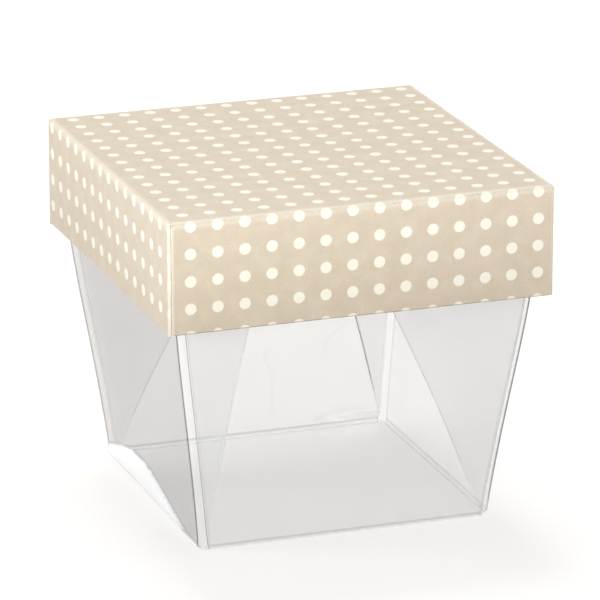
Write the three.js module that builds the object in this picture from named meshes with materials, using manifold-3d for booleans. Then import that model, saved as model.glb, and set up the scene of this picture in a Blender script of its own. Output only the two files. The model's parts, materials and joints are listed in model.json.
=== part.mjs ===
// Favour box: a clear film tray with gusseted corners under a folded card lid.
// Millimetres, +Z up, front towards -Y, origin on the table below the middle of the tray's floor.
// The tray and the lid are each one creased sheet; every panel between two creases is one mesh.

import * as THREE from 'three';
import { mergeVertices } from 'three/addons/utils/BufferGeometryUtils.js';
import Module from 'manifold-3d';

const wasm = await Module();
wasm.setup();

// Overall sizes
const lidSide = 90; // width and depth of the lid over its card
const lidHeight = 25.5; // from the lid's lower edge to its top
const closedHeight = 80; // from the table to the lid's top
const floorSide = 69.5; // width and depth of the tray at the table

// Clear film
const filmThickness = 0.35;
const floorFoldRadius = 0.8; // outer radius where the floor turns up into a wall
const filmBendRadius = 0.9; // outer radius where a wall turns into a gusset
const filmGussetGap = 0.5; // open space between the two layers of a gusset
const filmScoreGap = 0.3; // width of the scored line between a wall and a gusset

// Card
const cardThickness = 0.3;
const topFoldRadius = 0.6; // outer radius of the folds around the lid's top
const cardBendRadius = 0.8; // outer radius where the lid's front and back turn into a gusset
const hairpinRadius = 0.05; // inner radius where the lid's left and right double back into a gusset
const cardGussetGap = 0.05; // open space between the two layers of a gusset
const gussetPlay = 0.05; // free play of a gusset inside the double wall that traps it
const plainHemRadius = 0.05; // inner radius of the hem where no gusset is trapped
const flapEndGap = 0.3; // from the end of an inner flap to what it meets at the corner
const flapTopGap = 1; // from the free edge of an inner flap to the lid's underside

// Fit of the lid on the tray
const rimClearance = 0.3; // between the tray's rim and the lid's inner flaps, on each side

const arcSteps = 6; // straight steps in each bend or fold

// Places that follow from the sizes
const lidHalf = lidSide / 2;
const floorHalf = floorSide / 2;
const lidBottom = closedHeight - lidHeight;
const lidUnderside = closedHeight - cardThickness;
const trappedSpace = 2 * (hairpinRadius + cardThickness) + cardGussetGap + gussetPlay;
const plainSpace = 2 * plainHemRadius;
const sideWallDepth = 2 * cardThickness + trappedSpace; // left and right, with gussets inside
const endWallDepth = 2 * cardThickness + plainSpace; // front and back

// The tray's rim stands against the lid's underside, just inside its inner flaps
const rimHeight = lidUnderside;
const rimHalf = lidHalf - Math.max(sideWallDepth, endWallDepth) - rimClearance;
const flare = (rimHalf - floorHalf) / rimHeight; // how far a wall runs out for each unit of height
const lean = Math.atan(flare);
const wallSlant = rimHeight / Math.cos(lean);
const edgeSplay = Math.atan(Math.sin(lean)); // between a wall's corner edge and its own upright
const cornerEdge = wallSlant / Math.cos(edgeSplay);

// Around a floor corner the flat sheet has the floor's right angle, two wall corners and the two
// layers of a gusset, so each layer takes what the walls leave of an eighth of a turn.
const trayGussetAngle = Math.PI / 4 - edgeSplay;
const lidGussetAngle = Math.PI / 4;
const halfDihedral = (Math.PI - Math.acos(Math.sin(lean) ** 2)) / 2; // wall to gusset, inside the tray

// Sides by their quarter turns from the right-hand one
const sides = [
  { name: 'right', quarterTurns: 0 },
  { name: 'back', quarterTurns: 1 },
  { name: 'left', quarterTurns: 2 },
  { name: 'front', quarterTurns: 3 },
];

const clearFilm = { color: 0xeef1f0, roughness: 0.08, metalness: 0, transparent: true, opacity: 0.35 };
const printedCard = { color: 0xddd0ba, roughness: 0.55, metalness: 0 };

const model = new THREE.Group();

function addMesh(name, finish, geometry) {
  const mesh = new THREE.Mesh(geometry, new THREE.MeshStandardMaterial(finish));
  mesh.name = name;
  model.add(mesh);
}

// A three.js geometry as a solid, and back
function solidOf(geometry) {
  const bare = geometry.clone();
  bare.deleteAttribute('normal');
  bare.deleteAttribute('uv');
  const merged = mergeVertices(bare);
  return new wasm.Manifold(new wasm.Mesh({
    numProp: 3,
    vertProperties: new Float32Array(merged.attributes.position.array),
    triVerts: new Uint32Array(merged.index.array),
  }));
}

function geometryOf(solid) {
  const { vertProperties, triVerts } = solid.getMesh();
  const geometry = new THREE.BufferGeometry();
  geometry.setAttribute('position', new THREE.BufferAttribute(vertProperties, 3));
  geometry.setIndex(new THREE.BufferAttribute(triVerts, 1));
  return geometry;
}

function extrusionOf(outline, depth) {
  return new THREE.ExtrudeGeometry(new THREE.Shape(outline), { depth, bevelEnabled: false });
}

function boxBetween(low, high) {
  const size = high.clone().sub(low);
  const middle = low.clone().add(high).multiplyScalar(0.5);
  return new THREE.BoxGeometry(size.x, size.y, size.z).translate(middle.x, middle.y, middle.z);
}

function arc(centreX, centreY, radius, fromAngle, toAngle) {
  return Array.from({ length: arcSteps + 1 }, (_, step) => {
    const angle = fromAngle + (toAngle - fromAngle) * step / arcSteps;
    return new THREE.Vector2(centreX + radius * Math.cos(angle), centreY + radius * Math.sin(angle));
  });
}

// Outline of a gusset cut square to its corner edge. x runs inwards from the corner and y across the
// gusset. The sheet leaves one wall in a bend, runs in to the tip, folds there and comes back to the
// bend of the other wall. A mouth is one such bend: the angle between gusset and wall, the outer
// radius, and how far in from the corner its centre lies.
function gussetOutline({ left, right, gap, thickness, depth }) {
  const half = gap / 2;
  const quarter = Math.PI / 2;
  const leftStart = quarter + left.angle;
  const rightEnd = 3 * quarter - right.angle;
  const face = (inset) => [
    ...arc(left.centre, half + left.radius, left.radius - inset, leftStart, 3 * quarter),
    ...arc(depth, 0, half + inset, quarter, -quarter),
    ...arc(right.centre, -half - right.radius, right.radius - inset, quarter, rightEnd),
  ];
  return [...face(0), ...face(thickness).reverse()];
}

// A mouth whose bend touches the gusset's own face and the outer face of the wall through the corner
function mouthInCorner(angle, radius, gap) {
  const centre = (radius + Math.cos(angle) * (gap / 2 + radius)) / Math.sin(angle);
  return { angle, radius, centre };
}

// How far along the wall from the corner such a mouth's bend ends
function mouthReach({ angle, radius, centre }, gap) {
  return centre * Math.cos(angle) + (gap / 2 + radius) * Math.sin(angle);
}

// Joins outlines of equal count, each at its own height, into one closed skin
function loft(outlines, heights) {
  const count = outlines[0].length;
  const positions = outlines.flatMap(
    (outline, level) => outline.flatMap(({ x, y }) => [x, y, heights[level]]),
  );
  const faces = [];
  for (let level = 0; level + 1 < outlines.length; level += 1) {
    for (let point = 0; point < count; point += 1) {
      const next = (point + 1) % count;
      const [a, b] = [level * count + point, level * count + next];
      faces.push(a, b, b + count, a, b + count, a + count);
    }
  }
  const cap = THREE.ShapeUtils.triangulateShape(outlines[0], []);
  const lastLevel = (outlines.length - 1) * count;
  for (const [a, b, c] of cap) {
    faces.push(c, b, a, lastLevel + a, lastLevel + b, lastLevel + c);
  }
  if (THREE.ShapeUtils.area(outlines[0]) < 0) {
    faces.reverse();
  }
  const geometry = new THREE.BufferGeometry();
  geometry.setAttribute('position', new THREE.Float32BufferAttribute(positions, 3));
  geometry.setIndex(faces);
  return geometry;
}

// A gusset's fold line leaves the corner at a slant, so its depth changes evenly between stations
function gussetSkin(section, stations) {
  const outlines = stations.map(({ depth }) => gussetOutline({ ...section, depth }));
  return loft(outlines, stations.map(({ along }) => along));
}

// A section, x outwards from the middle and y up, carried along the right-hand side of a square
function barAlongSide(outline, halfLength) {
  const out = new THREE.Vector3(1, 0, 0);
  const up = new THREE.Vector3(0, 0, 1);
  const carry = new THREE.Matrix4().makeBasis(out, up, new THREE.Vector3().crossVectors(out, up))
    .setPosition(0, halfLength, 0);
  return extrusionOf(outline, 2 * halfLength).applyMatrix4(carry);
}

// Tray
const trayMouth = mouthInCorner(halfDihedral, filmBendRadius, filmGussetGap);
const wallSetBack = (mouthReach(trayMouth, filmGussetGap) + filmScoreGap) / Math.cos(edgeSplay);
const floorFoldReach = floorFoldRadius * Math.tan((Math.PI / 2 - lean) / 2);
const floorPanelHalf = floorHalf - floorFoldReach;

// The floor is flat up to its folds. Between two walls it runs on under the foot of the gusset, to
// a corner that is cut off in line with the gusset's two bends.
function addTrayFloor() {
  const footStart = floorHalf - wallSetBack + filmScoreGap;
  const cornerCut = Math.SQRT2 * (trayMouth.centre - trayMouth.radius);
  const corner = [
    new THREE.Vector2(floorPanelHalf, footStart),
    new THREE.Vector2(floorHalf, footStart),
    new THREE.Vector2(floorHalf, floorHalf - cornerCut),
    new THREE.Vector2(floorHalf - cornerCut, floorHalf),
    new THREE.Vector2(footStart, floorHalf),
    new THREE.Vector2(footStart, floorPanelHalf),
  ];
  const middle = new THREE.Vector2(0, 0);
  const outline = sides.flatMap(({ quarterTurns }) => corner.map(
    (point) => point.clone().rotateAround(middle, quarterTurns * Math.PI / 2),
  ));
  addMesh('base_floor', clearFilm, extrusionOf(outline, filmThickness));
}

// A wall in section: the fold up from the floor, then straight up and outwards to a level rim
function trayWallOutline() {
  const rimX = [rimHalf, rimHalf - filmThickness / Math.cos(lean)];
  const face = (inset, topX) => [
    ...arc(floorPanelHalf, floorFoldRadius, floorFoldRadius - inset, -Math.PI / 2, -lean),
    new THREE.Vector2(topX, rimHeight),
  ];
  return [...face(0, rimX[0]), ...face(filmThickness, rimX[1]).reverse()];
}

// The section is carried past both corners and cut to the panel between the wall's two creases
function addTrayWall(name, quarterTurns) {
  const cutDepth = filmBendRadius + filmThickness;
  const halfWidthAt = (up) => floorHalf + up * Math.sin(lean) - wallSetBack;
  const [foot, head] = [-cutDepth, wallSlant + cutDepth];
  const panel = [
    new THREE.Vector2(-halfWidthAt(foot), foot),
    new THREE.Vector2(halfWidthAt(foot), foot),
    new THREE.Vector2(halfWidthAt(head), head),
    new THREE.Vector2(-halfWidthAt(head), head),
  ];
  const along = new THREE.Vector3(0, 1, 0);
  const up = new THREE.Vector3(Math.sin(lean), 0, Math.cos(lean));
  const out = new THREE.Vector3().crossVectors(along, up);
  const stand = new THREE.Matrix4().makeBasis(along, up, out).setPosition(floorHalf, 0, 0);
  const cutter = extrusionOf(panel, 2 * cutDepth).translate(0, 0, -cutDepth).applyMatrix4(stand);
  const wall = solidOf(barAlongSide(trayWallOutline(), rimHalf)).intersect(solidOf(cutter));
  addMesh(name, clearFilm, geometryOf(wall).rotateZ(quarterTurns * Math.PI / 2));
}

// A tray gusset stands inwards on the diagonal. In the flat sheet its top edge is the straight line
// between the tops of the two walls, which meets the fold line square.
function addTrayGusset(name, sideX, sideY) {
  const tipAlong = cornerEdge * Math.cos(trayGussetAngle) ** 2;
  const tipDepth = tipAlong * Math.tan(trayGussetAngle);
  const rootDepth = trayMouth.centre + filmThickness; // the least depth that holds the tip's fold
  const rootAlong = rootDepth / Math.tan(trayGussetAngle);
  const headAlong = cornerEdge - rootDepth * Math.tan(trayGussetAngle);
  const overrun = trayMouth.centre;
  const section = { left: trayMouth, right: trayMouth, gap: filmGussetGap, thickness: filmThickness };
  const skin = gussetSkin(section, [
    { along: -overrun, depth: rootDepth },
    { along: rootAlong, depth: rootDepth },
    { along: tipAlong, depth: tipDepth },
    { along: headAlong, depth: rootDepth },
    { along: cornerEdge + overrun, depth: rootDepth },
  ]);
  const edge = new THREE.Vector3(sideX * flare, sideY * flare, 1).normalize();
  const across = new THREE.Vector3(sideY, -sideX, 0).normalize();
  const inwards = new THREE.Vector3().crossVectors(across, edge);
  const stand = new THREE.Matrix4().makeBasis(inwards, across, edge)
    .setPosition(sideX * floorHalf, sideY * floorHalf, 0);
  const betweenFloorAndRim = solidOf(boxBetween(
    new THREE.Vector3(-lidSide, -lidSide, filmThickness),
    new THREE.Vector3(lidSide, lidSide, rimHeight),
  ));
  addMesh(name, clearFilm, geometryOf(solidOf(skin.applyMatrix4(stand)).intersect(betweenFloorAndRim)));
}

// Lid
const lidBendMouth = mouthInCorner(Math.PI / 2, cardBendRadius, cardGussetGap);
const hairpinOuterRadius = hairpinRadius + cardThickness;
const hairpinMouth = { angle: 0, radius: hairpinOuterRadius, centre: hairpinOuterRadius };
const gussetMidDepth = cardThickness + 2 * hairpinRadius + cardThickness + cardGussetGap / 2;
const endPanelHalf = lidHalf - gussetMidDepth - cardGussetGap / 2 - cardBendRadius;
const sidePanelHalf = lidHalf - hairpinMouth.centre;
const endFlapHalf = lidHalf - sideWallDepth - flapEndGap;
const sideFlapHalf = lidHalf - cardBendRadius - flapEndGap;

function addLidTop() {
  const half = lidHalf - topFoldRadius;
  const low = new THREE.Vector3(-half, -half, lidUnderside);
  const high = new THREE.Vector3(half, half, closedHeight);
  addMesh('lid_top', printedCard, boxBetween(low, high));
}

// A lid side in section: the fold at the top, the outer panel, the hem, and the flap turned up inside.
// x runs outwards from the middle of the lid and y is height.
function lidSideOutline(space) {
  const hemY = lidBottom + cardThickness + space / 2;
  const hemX = lidHalf - cardThickness - space / 2;
  const foldX = lidHalf - topFoldRadius;
  const foldY = closedHeight - topFoldRadius;
  const flapTop = lidUnderside - flapTopGap;
  const face = (inset) => [
    ...arc(foldX, foldY, topFoldRadius - inset, Math.PI / 2, 0),
    ...arc(hemX, hemY, space / 2 + cardThickness - inset, 0, -Math.PI),
    new THREE.Vector2(hemX - space / 2 - cardThickness + inset, flapTop),
  ];
  return [...face(0), ...face(cardThickness).reverse()];
}

// The panel runs the whole side, and the flap stops short of the corners
function addLidSide(name, quarterTurns, space, panelHalf, flapHalf) {
  const panelInner = lidHalf - cardThickness;
  let side = solidOf(barAlongSide(lidSideOutline(space), panelHalf));
  for (const end of [-1, 1]) {
    const [nearY, farY] = [end * flapHalf, end * lidSide];
    const low = new THREE.Vector3(0, Math.min(nearY, farY), 0);
    const high = new THREE.Vector3(panelInner, Math.max(nearY, farY), closedHeight - topFoldRadius);
    side = side.subtract(solidOf(boxBetween(low, high)));
  }
  addMesh(name, printedCard, geometryOf(side).rotateZ(quarterTurns * Math.PI / 2));
}

// A lid gusset lies flat inside the left or right side. The front or back turns into its inner
// layer, and its outer layer doubles back into the side.
function addLidGusset(name, sideX, sideY) {
  const hemDepth = cardThickness + trappedSpace / 2;
  const length = lidHeight - hemDepth;
  const rootDepth = lidBendMouth.centre + cardThickness; // the least depth that holds the tip's fold
  const down = new THREE.Vector3(0, 0, -1);
  const inwards = new THREE.Vector3(0, -sideY, 0);
  const across = new THREE.Vector3().crossVectors(down, inwards);
  const leftIsOuter = across.x * sideX > 0;
  const section = {
    left: leftIsOuter ? hairpinMouth : lidBendMouth,
    right: leftIsOuter ? lidBendMouth : hairpinMouth,
    gap: cardGussetGap,
    thickness: cardThickness,
  };
  const skin = gussetSkin(section, [
    { along: topFoldRadius, depth: rootDepth },
    { along: rootDepth / Math.tan(lidGussetAngle), depth: rootDepth },
    { along: length, depth: length * Math.tan(lidGussetAngle) },
  ]);
  const stand = new THREE.Matrix4().makeBasis(inwards, across, down)
    .setPosition(sideX * (lidHalf - gussetMidDepth), sideY * lidHalf, closedHeight);
  addMesh(name, printedCard, geometryOf(solidOf(skin.applyMatrix4(stand))));
}

const corners = [
  { name: 'front_left', sideX: -1, sideY: -1 },
  { name: 'front_right', sideX: 1, sideY: -1 },
  { name: 'back_right', sideX: 1, sideY: 1 },
  { name: 'back_left', sideX: -1, sideY: 1 },
];

addTrayFloor();
for (const { name, quarterTurns } of sides) {
  addTrayWall(`base_${name}_wall`, quarterTurns);
}
for (const { name, sideX, sideY } of corners) {
  addTrayGusset(`base_${name}_gusset`, sideX, sideY);
}

addLidTop();
for (const { name, quarterTurns } of sides) {
  const holdsGussets = name === 'left' || name === 'right';
  if (holdsGussets) {
    addLidSide(`lid_${name}_side`, quarterTurns, trappedSpace, sidePanelHalf, sideFlapHalf);
  } else {
    addLidSide(`lid_${name}_side`, quarterTurns, plainSpace, endPanelHalf, endFlapHalf);
  }
}
for (const { name, sideX, sideY } of corners) {
  addLidGusset(`lid_${name}_gusset`, sideX, sideY);
}

export default model;
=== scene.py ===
# Favour box: a clear folded film tray with gusseted corners under a dotted card lid.
# Shapes are worked out in millimetres and written to the meshes in metres.
import bpy
import json
import numpy as np
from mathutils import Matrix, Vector

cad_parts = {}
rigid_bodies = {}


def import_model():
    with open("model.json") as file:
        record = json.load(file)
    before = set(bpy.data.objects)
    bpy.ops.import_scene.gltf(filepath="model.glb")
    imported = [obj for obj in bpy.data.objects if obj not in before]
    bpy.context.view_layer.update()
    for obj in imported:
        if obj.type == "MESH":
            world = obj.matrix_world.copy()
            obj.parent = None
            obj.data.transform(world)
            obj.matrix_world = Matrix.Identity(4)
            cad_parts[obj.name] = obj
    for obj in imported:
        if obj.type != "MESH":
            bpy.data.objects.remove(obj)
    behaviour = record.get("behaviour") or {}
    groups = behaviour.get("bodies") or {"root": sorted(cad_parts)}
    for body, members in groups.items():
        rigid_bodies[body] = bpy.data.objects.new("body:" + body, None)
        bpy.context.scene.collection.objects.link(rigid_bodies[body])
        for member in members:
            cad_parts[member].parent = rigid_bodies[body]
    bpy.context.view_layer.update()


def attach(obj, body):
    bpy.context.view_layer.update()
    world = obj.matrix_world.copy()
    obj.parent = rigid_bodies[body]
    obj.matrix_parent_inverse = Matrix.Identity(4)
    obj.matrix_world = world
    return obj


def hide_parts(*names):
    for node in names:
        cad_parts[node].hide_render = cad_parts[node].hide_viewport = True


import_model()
print("frame loaded")

metresPerMm = 0.001

# Sizes shared by all the pieces, the same as in the solids
box = {
    "lidHalf": 45.0,
    "lidHeight": 25.5,
    "closedHeight": 80.0,
    "floorHalf": 34.75,
    "film": 0.35,  # thickness of the clear film
    "card": 0.3,  # thickness of the card
    "rimHalf": 43.3,
    "rimHeight": 79.7,
}
lidBottom = box["closedHeight"] - box["lidHeight"]
flare = (box["rimHalf"] - box["floorHalf"]) / box["rimHeight"]


def asPiece(name, points, quads, look, body, replaced, uv=None, masks=None, sharpAt=35.0):
    # Faces point outwards: the volume summed over the faces is positive, or else all are turned round
    corners = points[quads]
    spin = np.cross(corners[:, 2] - corners[:, 0], corners[:, 3] - corners[:, 1])
    if (corners.mean(axis=1) * spin).sum() < 0:
        quads = quads[:, ::-1]
    mesh = bpy.data.meshes.new(name)
    mesh.from_pydata((points * metresPerMm).tolist(), [], quads.tolist())
    mesh.polygons.foreach_set("use_smooth", np.ones(len(mesh.polygons), bool))
    loopPoints = np.empty(len(mesh.loops), np.int32)
    mesh.loops.foreach_get("vertex_index", loopPoints)
    if uv is not None:
        layer = mesh.uv_layers.new(name="flatSheet")
        layer.data.foreach_set("uv", uv[loopPoints].astype(np.float32).ravel())
    for maskName, values in (masks or {}).items():
        mask = mesh.attributes.new(maskName, "FLOAT", "POINT")
        mask.data.foreach_set("value", values.astype(np.float32).ravel())
    mesh.validate()
    mesh.set_sharp_from_angle(angle=np.radians(sharpAt))
    mesh.materials.append(look)
    piece = bpy.data.objects.new(name, mesh)
    bpy.context.scene.collection.objects.link(piece)
    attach(piece, body)
    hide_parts(replaced)
    return piece


def closedSheet(face, back):
    # A sheet with thickness: the face grid, the back grid turned round, and a strip that joins their borders
    rows, columns = face.shape[:2]
    count = rows * columns
    at = np.arange(count).reshape(rows, columns)
    a, b, c, d = at[:-1, :-1], at[1:, :-1], at[1:, 1:], at[:-1, 1:]
    faceQuads = np.stack([a, b, c, d], axis=-1).reshape(-1, 4)
    border = np.concatenate([at[0, :-1], at[:-1, -1], at[-1, :0:-1], at[:0:-1, 0]])
    after = np.roll(border, -1)
    edgeQuads = np.stack([border, after, after + count, border + count], axis=-1)
    quads = np.concatenate([faceQuads, faceQuads[:, ::-1] + count, edgeQuads])
    points = np.concatenate([face.reshape(-1, 3), back.reshape(-1, 3)])
    return points, quads


def bothSides(values):
    # The same value on the face and on the back of a sheet
    flat = values.reshape(-1, values.shape[-1]) if values.ndim == 3 else values.ravel()
    return np.concatenate([flat, flat])


def turned(grid, quarterTurns):
    # x' = x cos a - y sin a and y' = x sin a + y cos a, for a whole number of quarter turns
    angle = quarterTurns * np.pi / 2
    out = grid.copy()
    out[..., 0] = grid[..., 0] * np.cos(angle) - grid[..., 1] * np.sin(angle)
    out[..., 1] = grid[..., 0] * np.sin(angle) + grid[..., 1] * np.cos(angle)
    return out


def arcPoints(centre, radius, fromAngle, toAngle, count):
    # centre + radius (cos a, sin a), with a running evenly from one angle to the other
    angle = np.radians(np.linspace(fromAngle, toAngle, count))
    return np.stack([centre[0] + radius * np.cos(angle), centre[1] + radius * np.sin(angle)], axis=-1)


def linePoints(start, end, count):
    # Points between two ends, which are left out because the bends at both ends already hold them
    share = np.linspace(0, 1, count + 2)[1:-1, None]
    return np.asarray(start) * (1 - share) + np.asarray(end) * share


def runLength(path):
    # Distance from the path's start, summed from point to point
    steps = np.linalg.norm(np.diff(path, axis=0), axis=-1)
    return np.concatenate([[0], np.cumsum(steps)])


def ripple(u, v, seed):
    # A soft, even unevenness: the mean of four sine waves whose pace and phase come from the seed
    draw = np.random.default_rng(seed)
    total = 0
    for _ in range(4):
        paceU, paceV = draw.uniform(-2.2, 2.2, 2)
        total = total + np.sin(2 * np.pi * (paceU * u + paceV * v + draw.uniform()))
    return total / 4


def addNode(tree, kind, inputs=None, **settings):
    node = tree.nodes.new(kind)
    for key, value in settings.items():
        setattr(node, key, value)
    for key, value in (inputs or {}).items():
        socket = node.inputs[key]
        if isinstance(value, bpy.types.NodeSocket):
            tree.links.new(value, socket)
        else:
            socket.default_value = value
    return node


def calc(tree, operation, first, second=0.0, third=0.0, clamp=False):
    sockets = {0: first, 1: second, 2: third}
    return addNode(tree, "ShaderNodeMath", sockets, operation=operation, use_clamp=clamp).outputs[0]


def rangeOf(tree, value, low, high, toLow=0.0, toHigh=1.0, smooth=True):
    kind = "SMOOTHSTEP" if smooth else "LINEAR"
    sockets = {"Value": value, "From Min": low, "From Max": high, "To Min": toLow, "To Max": toHigh}
    return addNode(tree, "ShaderNodeMapRange", sockets, interpolation_type=kind).outputs[0]


def blendOf(tree, share, first, second, mode="MIX"):
    node = addNode(tree, "ShaderNodeMix", data_type="RGBA", blend_type=mode)
    for key, value in (("Factor_Float", share), ("A_Color", first), ("B_Color", second)):
        socket = next(s for s in node.inputs if s.identifier == key)
        if isinstance(value, bpy.types.NodeSocket):
            tree.links.new(value, socket)
        else:
            socket.default_value = value
    return next(s for s in node.outputs if s.identifier == "Result_Color")


def handledGroup():
    # Marks that handling leaves on any sheet: cloudy mottle, fine grain and thin scuffs, each from 0 to 1
    tree = bpy.data.node_groups.new("handledSheet", "ShaderNodeTree")
    tree.interface.new_socket("Place", in_out="INPUT", socket_type="NodeSocketVector")
    for name in ("Mottle Scale", "Grain Scale", "Scuff Scale"):
        tree.interface.new_socket(name, in_out="INPUT", socket_type="NodeSocketFloat")
    for name in ("Mottle", "Grain", "Scuffs"):
        tree.interface.new_socket(name, in_out="OUTPUT", socket_type="NodeSocketFloat")
    given = tree.nodes.new("NodeGroupInput")
    made = tree.nodes.new("NodeGroupOutput")
    place = given.outputs["Place"]
    mottle = addNode(tree, "ShaderNodeTexNoise", {
        "Vector": place, "Scale": given.outputs["Mottle Scale"], "Detail": 4.0, "Roughness": 0.55})
    grain = addNode(tree, "ShaderNodeTexNoise", {
        "Vector": place, "Scale": given.outputs["Grain Scale"], "Detail": 3.0, "Roughness": 0.7})
    warp = addNode(tree, "ShaderNodeVectorMath", {0: mottle.outputs["Color"], 1: (0.012, 0.012, 0.012)},
                   operation="MULTIPLY")
    bent = addNode(tree, "ShaderNodeVectorMath", {0: place, 1: warp.outputs[0]}, operation="ADD")
    streaks = addNode(tree, "ShaderNodeTexWave", {
        "Vector": bent.outputs[0], "Scale": given.outputs["Scuff Scale"], "Distortion": 9.0, "Detail": 3.0,
        "Detail Scale": 1.4})
    tree.links.new(rangeOf(tree, mottle.outputs["Fac"], 0.3, 0.7), made.inputs["Mottle"])
    tree.links.new(rangeOf(tree, grain.outputs["Fac"], 0.25, 0.75), made.inputs["Grain"])
    thin = rangeOf(tree, streaks.outputs["Fac"], 0.965, 1.0)
    patchy = calc(tree, "MULTIPLY", thin, rangeOf(tree, mottle.outputs["Fac"], 0.52, 0.66))
    tree.links.new(patchy, made.inputs["Scuffs"])
    return tree


handledSheet = handledGroup()


def newLook(name):
    look = bpy.data.materials.new(name)
    look.use_nodes = True
    tree = look.node_tree
    tree.nodes.clear()
    out = tree.nodes.new("ShaderNodeOutputMaterial")
    shader = tree.nodes.new("ShaderNodeBsdfPrincipled")
    tree.links.new(shader.outputs["BSDF"], out.inputs["Surface"])
    return look, tree, shader


cardLook = {
    "tan": (0.505, 0.429, 0.330, 1),
    "tanLight": (0.640, 0.563, 0.453, 1),
    "dot": (0.785, 0.755, 0.665, 1),
    # Pale of worn card; it also paints the highlight along the folds
    "wornAndHighlight": (0.84, 0.80, 0.69, 1),
    "paintedHemShadow": (0.20, 0.155, 0.11, 1),  # painted shadow: a dark line along the hem's underside
    "plainSide": (0.80, 0.79, 0.75, 1),
    "paintedShadeTone": (0.62, 0.585, 0.54, 1),  # painted shade: the sides get darker towards the hem
    "plainGrain": (0.72, 0.71, 0.68, 1),
    "grainTone": 0.45,  # shares of the grain and the mottle in the light tan
    "mottleTone": 0.3,
    "wornAndHighlightMost": 0.75,  # how far each effect goes where its mask is 1
    "scuffMost": 0.10,
    "paintedHemShadowMost": 0.8,
    "paintedShadeMost": 0.36,
    "pitch": 6.228,  # mm between dots
    "dotRadius": 1.31,
    "dotSoftness": 0.12,  # mm over which a dot's edge fades, on either side
    "dotWobble": 0.16,  # mm by which the ink's edge wanders
    "firstColumn": 0.82,  # where the rows start in from the sheet's edge, in pitches
    "firstRow": 0.90,
    "roughness": 0.46,
}
flatSpan = 200.0  # mm of the flat sheet that the UV square covers


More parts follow.
